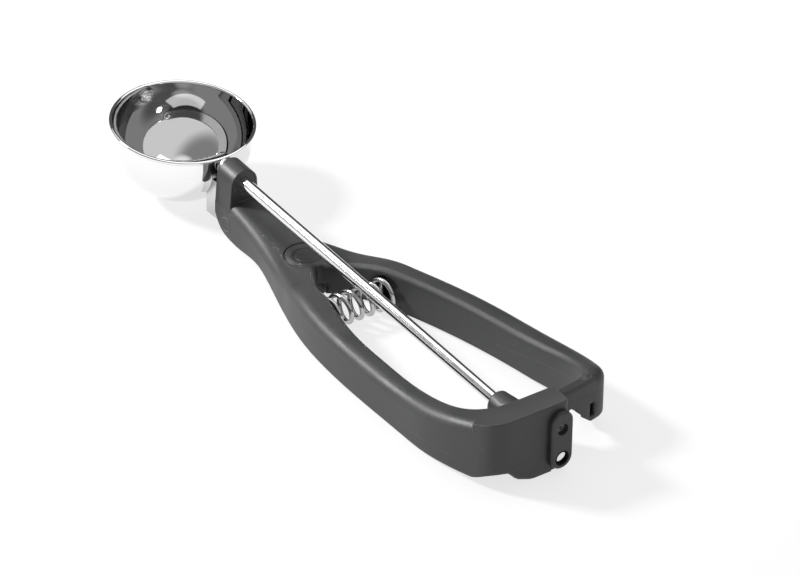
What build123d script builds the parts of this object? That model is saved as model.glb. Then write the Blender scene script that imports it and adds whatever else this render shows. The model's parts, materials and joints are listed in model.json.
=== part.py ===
from build123d import *
from math import acos, asin, atan2, cos, degrees, pi, radians, sin, sqrt, tan
import os

# Lever ice cream scoop, lying on its bowl and on the flat underside of its handle.
# Millimetres. X runs from the bowl (-) to the rear of the handle (+) and Z is up, from the
# surface that the scoop lies on. The fixed arm is on the -Y side, the squeeze lever on the +Y
# side. The pieces are modelled with x counted from the middle of the bowl, and at the end the
# whole scoop is moved so that the origin is the middle of its footprint.

# ---- bowl, shaft and wiper
bowl_outer_r = 25.2          # hemisphere, outside
bowl_wall = 0.9
rim_above_axis = 3.3         # straight wall above the shaft's axis
rim_bead_out = 0.45          # how far the rolled rim stands out
shaft_r = 2.1
shaft_past_rear = 1.4        # its end stands this far behind the cross-bar
shaft_end_height = 6.3
shaft_tip_r = 1.5            # riveted front tip, with two flats
shaft_tip_flat = 1.1
running_gap = 0.06           # radial clearance of a turning fit
free_gap = 0.4               # clearance of a hole that the shaft only passes through
blade_width = 7.6
blade_thickness = 0.9
blade_gap = 0.35             # between the blade and the bowl
blade_below_rim = 5.0        # degrees under the horizontal at both ends of the sweep
collar_r = 3.2
collar_length = 2.5
rivet_r = 1.4
rivet_head_r = 2.4
rivet_head = 0.8

# ---- front of the handle
hood_gap = 3.3               # between the bowl and the hood
hood_length = 8.8
hood_r = 5.3                 # arched hood over the shaft
hood_drop = 0.6              # centre of the arch below the shaft
neck_top_z = 14.8            # at the foot of the hood
neck_half_width = 6.1
neck_front_z = 6.8           # underside at the very front
outer_round = 3.8            # rounding of the outer top edges
inner_round = 2.4            # and of the inner ones
lever_inner_round = 1.6      # the lever's inner one is tighter, as it ends at the head
low_round = 1.6              # and of the outer edges underneath
lip_length = 13.8            # at the rear corner the top edge is left sharp
lip_ramp = 5.0
keel_x = 85.0                # the underside is flat from here
flat_length = 75.0           # over this length
rear_low_z = 2.6             # and then rises to here at the rear
bush_wall = 0.95
bush_flange = 0.8
bush_length = 7.0
bracket_half_width = 4.0
bracket_overlap = 4.8        # its front reaches this far under the bowl
bracket_low_z = 3.6
bracket_high_z = 18.0
tang_low_z = 6.4
tang_high_z = 12.4
tang_length = 14.5           # let into the neck, from its front
bracket_pin_inset = 10.1     # from the neck's front
bracket_pin_z = 9.2
bracket_pin_r = 1.6
bracket_pin_head_r = 3.0
bracket_pin_head = 1.2
bracket_pin_side_y = 6.3     # flush with the neck's sides

# ---- pivot of the lever
pivot_x = 74.6
head_r = 7.9                 # round head of the lever
head_gap = 0.35
head_top_z = 11.6
head_low_z = 4.4
floor_top_z = 4.1            # plate of the handle under the head
floor_low_z = 2.2
pivot_pin_r = 2.5
pivot_pin_head_r = 4.2
pivot_pin_head = 1.3
pivot_cap_r = 4.6
pivot_cap_top = 0.9
washer_r = 4.6
washer_thickness = 0.5
ring_r = 3.9
ring_thickness = 0.6
pin_groove = 0.5

# ---- arms and cross-bar
arm_top_z = 15.4             # the level part of both arms
rear_x = 213.8               # rear face of the cross-bar
rear_top_z = 26.4
bar_depth = 16.2             # cross-bar, front to rear
rise_length = 63.8           # the top sweeps up to the rear over this length
belly_from_rear = 45.8       # where the arms are widest
nose_length = 16.9           # boss in front of the cross-bar, round the shaft
nose_r = 4.3
nose_root_r = 6.6
nose_round = 1.1
neck_waist_x = 52.0          # where the neck begins to widen
neck_waist_fixed_y = 8.2     # its half width there on the fixed arm's side
neck_waist_lever_y = 7.2     # and on the lever's side
keel_rise_x = 50.0           # underside of the neck, on its way up to the hood
keel_rise_z = 2.7
flare_x = 80.0               # where the neck opens into the arms
flare_y = 16.1
shoulder_x = 104.0
shoulder_y = 23.6
arm_outer_y = 29.6           # reach of the fixed arm
arm_turn_in = 2.6            # its side turns in this much before the rear corner
corner_length = 9.0          # the rear corner, along the arm
corner_width = 8.6           # and across it
arm_inner_y = 21.4
arm_inner_from_bar = 19.0    # its inner face begins to turn this far before the cross-bar
arm_side_x = 150.0
arm_side_y = 20.4
arm_hollow_x = 122.0         # inner face of the fixed arm, near its root
arm_hollow_y = 17.4
crotch_x = 101.0             # where the arms' inner faces leave the pivot
crotch_y = 12.0
lever_outer_y = 33.8         # reach of the lever at rest
lever_start_x = 68.6         # front end of the lever's outer face, beside its head
lever_start_y = 11.2
lever_root_x = 84.0          # outer face of the lever, near its root
lever_root_y = 17.0
lever_shoulder_y = 22.7
lever_side_x = 120.0         # where it runs nearly straight
lever_side_y = 27.0
lever_turn_in = 2.4          # its side turns in this much before the rear corner
lever_corner_from_rear = 17.8
lever_corner_y = 25.5        # where its corner meets the rear face
lever_inner_y = 25.3
lever_hollow_x = 128.5       # inner face of the lever, near its root
lever_hollow_y = 19.6
lever_rear_y = 23.3          # inner face of the lever's rear end, at rest
lever_low_z = 0.7
lever_rear_low_z = 4.7       # its underside rises to here at the rear
bar_inner_y = 7.0            # the cross-bar's front face is straight to here
bar_end_y = 9.5              # its open end, at the inner face
bar_end_rear_y = 4.7         # and at the rear face

# ---- rack and pinion
gear_module = 0.9
pinion_teeth = 10
pressure_angle = 25.0
rack_addendum = 0.85         # as a share of the module, small enough not to undercut
dedendum = 1.25
backlash = 0.10
wiper_sweep = 170.0          # degrees from rim to rim
web_thickness = 3.6          # the lever's rear web, a band about the pivot
web_before_rear = 11.2       # its outside lies this far before the cross-bar's rear face
skirt_thickness = 1.4        # smooth wall behind the web, flush with the lever's rear end
skirt_top_z = 20.8
skirt_slope_top_y = 13.3     # its lower edge slopes down to the lever from here
skirt_slope_top_z = 13.4
skirt_slope_low_y = 20.6
skirt_slope_low_z = 6.3
slot_width = 2.2             # moulded slot in the rear end
slot_y = 22.9
slot_low_z = 6.4
slot_high_z = 11.6
slot_depth = 4.0
web_top_z = 19.2
web_end_y = -4.5
web_foot_z = 5.7             # lower end of the web's sloping edge
web_slope_low_y = 21.9
web_slope_top_y = 15.8
web_slope_top_z = 13.7
rack_first_space = -1
rack_last_space = 5
slide_gap = 0.4              # round the web in its tunnel
stop_gap = 0.8               # left at the end of the stroke
chamber_r = 5.8
pinion_inset = 0.4           # pinion narrower than the web on each side
pinion_flat = 1.6            # flat of the shaft under the pinion, from its axis
rack_end_y = 14.5

# ---- end plate
plate_half_width = 4.3
plate_height = 21.6
plate_thickness = 3.6
plate_seat = 1.6             # depth of its pocket in the cross-bar
plate_edge = 0.5
screw_above_shaft = 10.8
screw_hole_r = 2.15
screw_r = 1.2
screw_head = 1.4
screw_length = 8.0
screw_seat = 0.9             # its head bears this far inside the rear face
end_bush_wall = 0.6

# ---- return spring
spring_x = 102.4
spring_z = 6.7
spring_mean_r = 5.05
spring_wire_r = 0.88
spring_turns = 6.6
spring_pocket_gap = 0.35
spring_fixed_y = 15.0        # bottom of its pocket in the fixed arm
spring_moving_y = 15.6       # bottom of its pocket in the lever, at rest

# ---- places that follow from the sizes
axis_z = bowl_outer_r                                   # the bowl stands on the table
shaft_end_x = rear_x + shaft_past_rear                  # rear end of the shaft
hood_front_x = bowl_outer_r + hood_gap
bracket_front_x = bowl_outer_r - bracket_overlap
tang_end_x = hood_front_x + tang_length
bracket_pin_x = hood_front_x + bracket_pin_inset
bar_front_x = rear_x - bar_depth                        # inner face of the cross-bar
corner_x = rear_x - corner_length                       # where the sides turn into the rear
lip_x = rear_x - lip_length
lever_corner_x = rear_x - lever_corner_from_rear
flat_end_x = keel_x + flat_length
rise_start_x = rear_x - rise_length
belly_x = rear_x - belly_from_rear
nose_x = bar_front_x - nose_length
web_r_out = rear_x - web_before_rear - pivot_x
web_r_in = web_r_out - web_thickness
skirt_r = web_r_out + skirt_thickness                   # rear face of the lever
tilt = degrees(atan2(axis_z - shaft_end_height, shaft_end_x))
axis_dir = Vector(cos(radians(tilt)), 0, -sin(radians(tilt)))
up_dir = Vector(sin(radians(tilt)), 0, cos(radians(tilt)))
shaft_frame = Plane(origin=(0, 0, axis_z), x_dir=(0, 1, 0), z_dir=axis_dir)
bowl_frame = Plane(origin=(0, 0, axis_z), x_dir=axis_dir, z_dir=up_dir)
bowl_inner_r = bowl_outer_r - bowl_wall
blade_out_r = bowl_inner_r - blade_gap
blade_in_r = blade_out_r - blade_thickness
pitch_r = gear_module * pinion_teeth / 2
tooth_pitch = pi * gear_module
mesh_r = (web_r_in + web_r_out) / 2                     # rack radius about the pivot
gear_ratio = mesh_r / pitch_r
lever_swing = wiper_sweep / gear_ratio                  # degrees
mesh_x = pivot_x + mesh_r
tooth_step = degrees(tooth_pitch / mesh_r)              # rack pitch as an angle at the pivot
hood_rear_x = hood_front_x + hood_length
pinion_front_x = pivot_x + web_r_in + pinion_inset
pinion_length = web_r_out - web_r_in - 2 * pinion_inset
pinion_rear_x = pinion_front_x + pinion_length * cos(radians(tilt))
side_reach = 60.0                                       # wider than any piece


def shaft_height(x):
    """Height of the shaft's axis at x."""
    return axis_z - x * tan(radians(tilt))


def shaft_disc(radius, x_from, x_to):
    """Cylinder about the shaft between two places."""
    start = x_from / cos(radians(tilt))
    length = (x_to - x_from) / cos(radians(tilt))
    disc = Cylinder(radius, length, align=(Align.CENTER, Align.CENTER, Align.MIN))
    return shaft_frame.location * Pos(0, 0, start) * disc


def polar(radius, angle):
    """Point at a radius and an angle about the lever's pivot."""
    return Vector(pivot_x + radius * cos(radians(angle)), radius * sin(radians(angle)), 0)


def upright(radius, x, y, z_from, z_to):
    """Vertical cylinder between two heights."""
    height = z_to - z_from
    return Pos(x, y, z_from) * Cylinder(radius, height, align=(Align.CENTER, Align.CENTER, Align.MIN))


def across(radius, x, y_from, y_to, z):
    """Cylinder along Y between two places."""
    height = y_to - y_from
    body = Cylinder(radius, height, align=(Align.CENTER, Align.CENTER, Align.MIN))
    return Plane(origin=(x, y_from, z), z_dir=(0, 1, 0)).location * body


def lengthwise(radius, x_from, x_to, z):
    """Cylinder along X between two places, on the middle plane."""
    body = Cylinder(radius, x_to - x_from, align=(Align.CENTER, Align.CENTER, Align.MIN))
    return Plane(origin=(x_from, 0, z), z_dir=(1, 0, 0)).location * body


def between(x_from, x_to, y_from, y_to, z_from, z_to):
    """Box between six places."""
    box = Box(x_to - x_from, y_to - y_from, z_to - z_from, align=Align.MIN)
    return Pos(x_from, y_from, z_from) * box


def sweep_band(section, r_in, r_out):
    """Piece with a YZ section, bent round the pivot between two radii."""
    prism = extrude(Plane.YZ.offset(mesh_x - mesh_r / 4) * section, mesh_r / 2, dir=(1, 0, 0))
    ring = upright(r_out, pivot_x, 0, -1, rear_top_z) - upright(r_in, pivot_x, 0, -1, rear_top_z)
    return prism & ring


def top_line(dip_x):
    """Side view of the top of both arms: a dip at the pivot, a level run and a sweep up."""
    return (
        Spline([(dip_x, head_top_z), (shoulder_x, arm_top_z)], tangents=[(1, 0), (1, 0)])
        + Line((shoulder_x, arm_top_z), (rise_start_x, arm_top_z))
        + TangentArc((rise_start_x, arm_top_z), (rear_x, rear_top_z), tangent=(1, 0))
    )


def side_prism(outline):
    """Side view made into a prism that is wider than the scoop."""
    start = Plane.XZ.offset(-side_reach)
    return extrude(start * make_face(outline), 2 * side_reach, dir=(0, -1, 0))


def handle_profile():
    """Side view of the handle, from the hood's foot to the rear, as a wide prism."""
    outline = (
        Line((hood_front_x, neck_front_z), (hood_front_x, neck_top_z))
        + Line((hood_front_x, neck_top_z), (hood_rear_x, neck_top_z))
        + Spline([(hood_rear_x, neck_top_z), (pivot_x, head_top_z)], tangents=[(1, -0.12), (1, 0)])
        + top_line(pivot_x)
        + Line((rear_x, rear_top_z), (rear_x, rear_low_z))
        + TangentArc((flat_end_x, 0), (rear_x, rear_low_z), tangent=(1, 0))
        + Line((flat_end_x, 0), (keel_x, 0))
        + Spline(
            [(keel_x, 0), (keel_rise_x, keel_rise_z), (hood_front_x, neck_front_z)],
            tangents=[(-1, 0), (-0.75, 0.8)],
        )
    )
    return side_prism(outline)


def handle_plan():
    """Top view of the neck, the fixed arm and the cross-bar, as a tall prism."""
    crotch_angle = -10.0
    mouth_angle = 100.0
    rear_corner = 3.0
    neck_y = neck_half_width
    corner_y = arm_turn_in - arm_outer_y
    rear_side_y = corner_y + corner_width
    outline = (
        Spline(
            [
                (hood_front_x, -neck_y),
                (neck_waist_x, -neck_waist_fixed_y),
                (flare_x, -flare_y),
                (shoulder_x, -shoulder_y),
                (belly_x, -arm_outer_y),
                (corner_x, corner_y),
            ],
            tangents=[(1, -0.03), (1, 0.2)],
        )
        + Spline(
            [(corner_x, corner_y), (rear_x, rear_side_y)],
            tangents=[(1, 0.2), (0, 1)],
        )
        + Line((rear_x, rear_side_y), (rear_x, bar_end_rear_y - rear_corner))
        + Spline(
            [(rear_x, bar_end_rear_y - rear_corner), (rear_x - rear_corner, bar_end_rear_y)],
            tangents=[(0, 1), (-1, 0.3)],
        )
        + Line((rear_x - rear_corner, bar_end_rear_y), (bar_front_x, bar_end_y))
        + Line((bar_front_x, bar_end_y), (bar_front_x, -bar_inner_y))
        + Spline(
            [
                (bar_front_x, -bar_inner_y),
                (bar_front_x - arm_inner_from_bar, -arm_inner_y),
                (arm_side_x, -arm_side_y),
                (arm_hollow_x, -arm_hollow_y),
                (crotch_x, -crotch_y),
                polar(head_r, crotch_angle),
            ],
            tangents=[(0, -1), (-1, 0.75)],
        )
        + ThreePointArc(polar(head_r, crotch_angle), polar(head_r, 45), polar(head_r, mouth_angle))
        + Line(polar(head_r, mouth_angle), (lever_start_x, lever_start_y))
        + Spline(
            [(lever_start_x, lever_start_y), (neck_waist_x, neck_waist_lever_y), (hood_front_x, neck_y)],
            tangents=[(-1, -0.35), (-1, 0)],
        )
        + Line((hood_front_x, neck_y), (hood_front_x, -neck_y))
    )
    return extrude(make_face(outline), rear_top_z + 2, dir=(0, 0, 1))


def arch(x, radius, centre_z, foot_y, foot_z):
    """Upright section of an arch at x, its legs standing a little apart."""
    outline = (
        Line((-foot_y, foot_z), (-radius, centre_z))
        + ThreePointArc((-radius, centre_z), (0, centre_z + radius), (radius, centre_z))
        + Line((radius, centre_z), (foot_y, foot_z))
        + Line((foot_y, foot_z), (-foot_y, foot_z))
    )
    return Plane.YZ.offset(x) * make_face(outline)


def hood():
    """Arched hood round the shaft, its sides drawn in above the neck."""
    foot_z = neck_top_z - outer_round
    ends = [
        arch(x, hood_r, shaft_height(x) - hood_drop, neck_half_width, foot_z)
        for x in (hood_front_x, hood_rear_x)
    ]
    return loft(ends, ruled=True)


def nose_boss():
    """Tapered bearing boss on the cross-bar, an arch round the shaft with its front edge rounded."""
    legs_z = rear_low_z + 0.5
    root_x = bar_front_x + 1
    boss = loft(
        [
            arch(nose_x, nose_r, shaft_height(nose_x), nose_r, legs_z),
            arch(root_x, nose_root_r, shaft_height(root_x), nose_root_r, legs_z),
        ]
    )
    front = boss.faces().sort_by(Axis.X)[0]
    return boss.fillet(nose_round, front.edges().filter_by(GeomType.CIRCLE))


def tunnel():
    """Curved way through the cross-bar for the lever's web and skirt, open at the bar's end."""
    stroke = radians(lever_swing) * mesh_r
    end_y = web_end_y - stroke - stop_gap
    over_y = bar_end_y + slide_gap * 10
    low_z = web_foot_z - slide_gap * 4
    back = stroke + slide_gap * 1.6
    rack_z = shaft_height(mesh_x) + pitch_r - rack_addendum * gear_module - slide_gap

    def way(top_z, step_z, slope_top_y, slope_low_y, slope_low_z, r_in, r_out):
        section = Polyline(
            (end_y, top_z + slide_gap),
            (over_y, top_z + slide_gap),
            (over_y, low_z),
            (slope_low_y - back + slide_gap * 2, low_z),
            (slope_low_y - back, slope_low_z - slide_gap),
            (slope_top_y - back, step_z),
            (end_y, step_z),
            close=True,
        )
        return sweep_band(make_face(section), r_in, r_out)

    skirt_z = skirt_slope_top_z - slide_gap
    web = way(
        web_top_z, rack_z, web_slope_top_y, web_slope_low_y, web_foot_z,
        web_r_in - slide_gap, web_r_out + slide_gap,
    )
    skirt = way(
        skirt_top_z, skirt_z, skirt_slope_top_y, skirt_slope_low_y, skirt_slope_low_z,
        web_r_out - slide_gap, skirt_r + slide_gap,
    )
    return web + skirt


def long_top_edges(body):
    """Edges along the top of the neck and the fixed arm."""
    shortest = corner_length + 1
    return [
        edge
        for edge in body.edges()
        if edge.bounding_box().min.Z > head_top_z - 0.2 and edge.bounding_box().size.X > shortest
    ]


def outer_top_edges(body):
    """The outer ones: both sides of the neck, and the fixed arm's outside."""
    parting_y = (shoulder_y + arm_inner_y) / 2
    neck_y = neck_half_width - 0.2
    chosen = []
    for edge in long_top_edges(body):
        middle = edge @ 0.5
        on_neck = abs(middle.Y) > neck_y and middle.X < pivot_x + 3
        if on_neck or middle.Y < -parting_y:
            chosen.append(edge)
    return chosen


def inner_top_edges(body):
    """The fixed arm's inner top edge."""
    parting_y = (shoulder_y + arm_inner_y) / 2
    return [e for e in long_top_edges(body) if (e @ 0.5).X > flare_x and -parting_y < (e @ 0.5).Y < 0]


def low_outer_edges(body):
    """Edges underneath, on the outside of the fixed arm and round the rear corner."""
    chosen = []
    for edge in body.edges():
        box = edge.bounding_box()
        middle = edge @ 0.5
        underneath = box.max.Z < neck_front_z and box.size.Z < neck_front_z - 1
        if underneath and middle.Y < -shoulder_y + 3 and middle.X > flare_x and box.size.X > 1:
            chosen.append(edge)
    return chosen


def lip_room():
    """Space of the rear corner, whose top edge stays sharp: its front runs out on a slant."""
    inner_y = -arm_inner_y - 1
    strip_x = bar_front_x + bar_depth / 2
    outline = Polyline(
        (lip_x, inner_y),
        (lip_x + lip_ramp, -side_reach / 2),
        (rear_x + 1, -side_reach / 2),
        (rear_x + 1, side_reach / 2),
        (strip_x, side_reach / 2),
        (strip_x, inner_y),
        close=True,
    )
    return extrude(make_face(outline), rear_top_z + 2, dir=(0, 0, 1))


def lever_room():
    """Space that the lever's head and root need in the handle, over the whole swing."""
    top = rear_top_z
    head = upright(head_r + head_gap, pivot_x, 0, floor_top_z, top)
    mouth = between(lever_start_x - stop_gap, shoulder_x, 0, side_reach, floor_top_z, top)
    root = between(pivot_x, pivot_x + head_r + stop_gap, -stop_gap, side_reach, floor_top_z, top)
    return head + mouth + root


def pivot_recess():
    """Round recess in the underside for the washer and the ring of the pivot."""
    return upright(washer_r + free_gap, pivot_x, 0, -1, floor_low_z)


def plate_face(grow):
    """Outline of the end plate, upright and centred on the shaft's line."""
    centre_z = shaft_height(rear_x) - plate_half_width + plate_height / 2
    tall = plate_height + 2 * grow
    wide = 2 * (plate_half_width + grow)
    return Pos(0, centre_z) * SlotOverall(tall, wide, rotation=90)


def spring_pocket(y_from, y_to):
    """Round pocket for one end of the spring."""
    return across(spring_mean_r + spring_wire_r + spring_pocket_gap, spring_x, y_from, y_to, spring_z)


def make_handle():
    """Neck, hood, fixed arm and cross-bar, moulded in one piece."""
    raw = handle_profile() & handle_plan()
    raw = raw.fillet(low_round, low_outer_edges(raw))
    body = raw - lip_room()
    body = body.fillet(outer_round, outer_top_edges(body))
    body = body.fillet(inner_round, inner_top_edges(body))
    body = body + (raw & lip_room()) + hood() + nose_boss()
    body = body - lever_room() - pivot_recess()
    body = body - upright(pivot_pin_r, pivot_x, 0, 0, floor_top_z + 1)
    body = body - tunnel()
    chamber_front_x = web_r_in + pivot_x - slide_gap / 2
    body = body - shaft_disc(chamber_r, chamber_front_x, web_r_out + pivot_x + slide_gap)
    body = body - shaft_disc(shaft_r + free_gap, 0, rear_x + 5)
    body = body - bush_seat(hood_rear_x, 1, bush_wall) - bush_seat(nose_x, -1, 0)
    pocket = extrude(Plane.YZ.offset(rear_x - plate_seat) * plate_face(0), plate_seat + 1, dir=(1, 0, 0))
    body = body - pocket
    screw_z = shaft_height(rear_x) + screw_above_shaft
    body = body - lengthwise(screw_r, rear_x - screw_length, rear_x, screw_z)
    body = body - spring_pocket(-spring_fixed_y, 0)
    body = body - make_bracket()
    body = body - make_bracket_pin()
    return body


def make_bowl():
    """Deep bowl: half a sphere, a short straight wall and a rolled rim."""
    bead_r = (bowl_wall + rim_bead_out) / 2
    bead_x = bowl_outer_r + rim_bead_out - bead_r
    bead_z = rim_above_axis - bead_r
    outside = bowl_outer_r * cos(radians(45))
    inside = bowl_inner_r * cos(radians(45))
    wall = (
        ThreePointArc((0, -bowl_outer_r), (outside, -outside), (bowl_outer_r, 0))
        + Line((bowl_outer_r, 0), (bowl_outer_r, bead_z))
        + Line((bowl_outer_r, bead_z), (bowl_inner_r, bead_z))
        + Line((bowl_inner_r, bead_z), (bowl_inner_r, 0))
        + ThreePointArc((bowl_inner_r, 0), (inside, -inside), (0, -bowl_inner_r))
        + Line((0, -bowl_inner_r), (0, -bowl_outer_r))
    )
    section = make_face(wall) + Pos(bead_x, bead_z) * Circle(bead_r)
    shell = bowl_frame.location * revolve(Plane.XZ * section, Axis.Z)
    shaft_hole = shaft_disc(shaft_r + running_gap, bowl_inner_r - 3, bowl_outer_r + 3)
    rivet_hole = shaft_disc(rivet_r, -bowl_outer_r - 3, -bowl_inner_r + 3)
    return shell - shaft_hole - rivet_hole


def make_bracket():
    """Steel bracket that is welded to the bowl and let into the neck."""
    outline = Polyline(
        (bracket_front_x, axis_z / 2),
        (bracket_front_x, bracket_low_z),
        (hood_front_x + 0.5, bracket_low_z - 0.3),
        (hood_front_x + 3, tang_low_z),
        (tang_end_x, tang_low_z),
        (tang_end_x, tang_high_z),
        (hood_front_x, tang_high_z),
        (hood_front_x, bracket_high_z),
        (bracket_front_x, bracket_high_z),
        close=True,
    )
    start = Plane.XZ.offset(-bracket_half_width)
    block = extrude(start * make_face(outline), 2 * bracket_half_width, dir=(0, -1, 0))
    block = block - Pos(0, 0, axis_z) * Sphere(bowl_outer_r)
    return block - make_bracket_pin()


def make_bracket_pin():
    """Cross pin through the neck and the bracket, its head flush with the side of the neck."""
    side_y = bracket_pin_side_y
    shank = across(bracket_pin_r, bracket_pin_x, -side_y, side_y, bracket_pin_z)
    head = across(bracket_pin_head_r, bracket_pin_x, -side_y, bracket_pin_head - side_y, bracket_pin_z)
    return shank + head


def make_shaft():
    """Long shaft with a riveted tip in the bowl, a flat for the pinion and a ring groove."""
    tab_x = sqrt(blade_out_r ** 2 - shaft_r ** 2) * cos(radians(tilt))
    head_x = sqrt(blade_in_r ** 2 - rivet_head_r ** 2) * cos(radians(tilt))
    rod = shaft_disc(shaft_r, tab_x, shaft_end_x)
    tip = shaft_disc(shaft_tip_r, head_x - 0.1, tab_x + 0.1) & shaft_flats(head_x - 1, tab_x + 1)
    peen = shaft_disc(rivet_head_r, head_x - rivet_head, head_x)
    peen = peen.fillet(rivet_head * 0.6, [peen.edges().filter_by(GeomType.CIRCLE).sort_by(Axis.X)[0]])
    flat = shaft_frame.location * Pos(0, 0, pinion_front_x / cos(radians(tilt))) * Pos(
        -shaft_r, pinion_flat, 0
    ) * Box(2 * shaft_r, shaft_r, pinion_length, align=Align.MIN)
    groove = shaft_disc(shaft_r + 1, pinion_rear_x, pinion_rear_x + ring_thickness)
    groove = groove - shaft_disc(shaft_r - pin_groove, pinion_rear_x - 1, pinion_rear_x + 2)
    return rod + tip + peen - flat - groove


def shaft_flats(x_from, x_to):
    """Block that leaves two flats on the shaft's tip."""
    start = x_from / cos(radians(tilt))
    on_axis = (Align.CENTER, Align.CENTER, Align.MIN)
    block = Box(2 * shaft_tip_flat, 4 * shaft_tip_r, x_to - x_from, align=on_axis)
    return shaft_frame.location * Pos(0, 0, start) * block


def make_blade():
    """Scraper blade: a curved strip inside the bowl, with a round tab at each end."""
    shell = Sphere(blade_out_r) - Sphere(blade_in_r)
    reach = 2 * bowl_outer_r
    half = Pos(reach / 2, 0, 0) * Box(reach, blade_width, reach) + Cylinder(blade_width / 2, reach)
    seat = sqrt(blade_out_r ** 2 - shaft_r ** 2)
    strip = shell & half & Box(reach, reach, 2 * seat)
    strip = shaft_frame.location * Rot(0, 0, 180 + blade_below_rim) * strip
    rivet_hole = shaft_disc(rivet_r + running_gap, -bowl_outer_r, 0)
    tip_hole = shaft_disc(shaft_tip_r, 0, bowl_outer_r) & shaft_flats(0, bowl_outer_r)
    return strip - rivet_hole - tip_hole


def make_far_rivet():
    """Rivet through the bowl's front that the blade's free end turns on."""
    inner_x = (running_gap - sqrt(blade_in_r ** 2 - rivet_head_r ** 2)) * cos(radians(tilt))
    outer_x = -sqrt(bowl_outer_r ** 2 - rivet_head_r ** 2)
    shank = shaft_disc(rivet_r, outer_x - 0.3, inner_x + 0.1)
    inner = shaft_disc(rivet_head_r, inner_x + 0.05, inner_x + rivet_head)
    inner = inner.fillet(rivet_head * 0.6, [inner.edges().filter_by(GeomType.CIRCLE).sort_by(Axis.X)[-1]])
    outer = shaft_disc(rivet_head_r, outer_x - 0.5 - rivet_head, outer_x)
    outer = outer - Pos(0, 0, axis_z) * Sphere(bowl_outer_r)
    return shank + inner + outer


def make_collar():
    """Collar on the shaft between the bowl and the hood."""
    start = hood_front_x - collar_length - free_gap
    ring = shaft_disc(collar_r, start, start + collar_length)
    return ring - shaft_disc(shaft_r, start - 1, start + collar_length + 1)


def bush_seat(face_x, outward, flange):
    """Space of a bearing bush round the shaft, flush with an upright face."""
    reach = bush_length + 2
    outside_r = shaft_r + running_gap + bush_wall

    def stretch(radius, depth):
        low_x, high_x = sorted((face_x - outward * depth, face_x))
        disc = shaft_disc(radius, low_x - 1, high_x + 1)
        return disc & between(low_x, high_x, -reach, reach, 0, axis_z + reach)

    sleeve = stretch(outside_r, bush_length)
    return sleeve + stretch(outside_r + flange, bush_flange) if flange else sleeve


def make_bush(face_x, outward, flange):
    """Bearing bush in its seat."""
    bore = shaft_disc(shaft_r + running_gap, face_x - 2 * bush_length, face_x + 2 * bush_length)
    return bush_seat(face_x, outward, flange) - bore


def make_pinion():
    """Ten-tooth pinion with involute flanks, on the shaft's flat."""
    base_r = pitch_r * cos(radians(pressure_angle))
    root_r = pitch_r - dedendum * gear_module
    outer_r = pitch_r + gear_module
    half_at_pitch = (tooth_pitch / 2 - backlash) / (2 * pitch_r)
    pitch_roll = tan(radians(pressure_angle)) - radians(pressure_angle)

    def flank(radius, side):
        roll = acos(min(1, base_r / radius))
        half = half_at_pitch + pitch_roll - (tan(roll) - roll)
        return Vector(radius * sin(side * half), radius * cos(half), 0)

    steps = [base_r, base_r + (outer_r - base_r) / 3, base_r + (outer_r - base_r) * 2 / 3, outer_r]
    left = [flank(radius, -1) for radius in steps]
    right = [flank(radius, 1) for radius in reversed(steps)]
    foot = root_r - 0.3
    left_foot = left[0] * (foot / base_r)
    right_foot = right[-1] * (foot / base_r)
    outline = (
        Line(left_foot, left[0])
        + Spline(left)
        + ThreePointArc(left[-1], (0, outer_r), right[0])
        + Spline(right)
        + Line(right[-1], right_foot)
        + Line(right_foot, left_foot)
    )
    tooth = extrude(make_face(outline), pinion_length, dir=(0, 0, 1))
    gear = Cylinder(root_r, pinion_length, align=(Align.CENTER, Align.CENTER, Align.MIN))
    for step in range(pinion_teeth):
        gear = gear + Rot(0, 0, 360 * step / pinion_teeth) * tooth
    bore = Cylinder(shaft_r, pinion_length, align=(Align.CENTER, Align.CENTER, Align.MIN))
    above_flat = Pos(0, pinion_flat + shaft_r, 0) * Box(4 * shaft_r, 2 * shaft_r, 4 * pinion_length)
    gear = gear - (bore - above_flat)
    return shaft_frame.location * Pos(0, 0, pinion_front_x / cos(radians(tilt))) * gear


def make_pinion_ring():
    """Snap ring in the shaft's groove behind the pinion."""
    ring = shaft_disc(shaft_r + bush_wall, pinion_rear_x, pinion_rear_x + ring_thickness)
    return ring - shaft_disc(shaft_r - pin_groove, pinion_rear_x - 1, pinion_rear_x + 2)


def lever_profile():
    """Side view of the lever, as a wide prism."""
    head_left_x = pivot_x - head_r - 1
    low_z = lever_low_z
    dip_x = pivot_x + 3
    step_x = pivot_x + head_r + 1.2
    outline = (
        Line((head_left_x, head_low_z), (head_left_x, head_top_z))
        + Line((head_left_x, head_top_z), (dip_x, head_top_z))
        + top_line(dip_x)
        + Line((rear_x, rear_top_z), (rear_x, lever_rear_low_z))
        + Line((rear_x, lever_rear_low_z), (belly_x, low_z + 0.8))
        + Line((belly_x, low_z + 0.8), (step_x, low_z))
        + Line((step_x, low_z), (step_x, head_low_z))
        + Line((step_x, head_low_z), (head_left_x, head_low_z))
    )
    return side_prism(outline)


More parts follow.
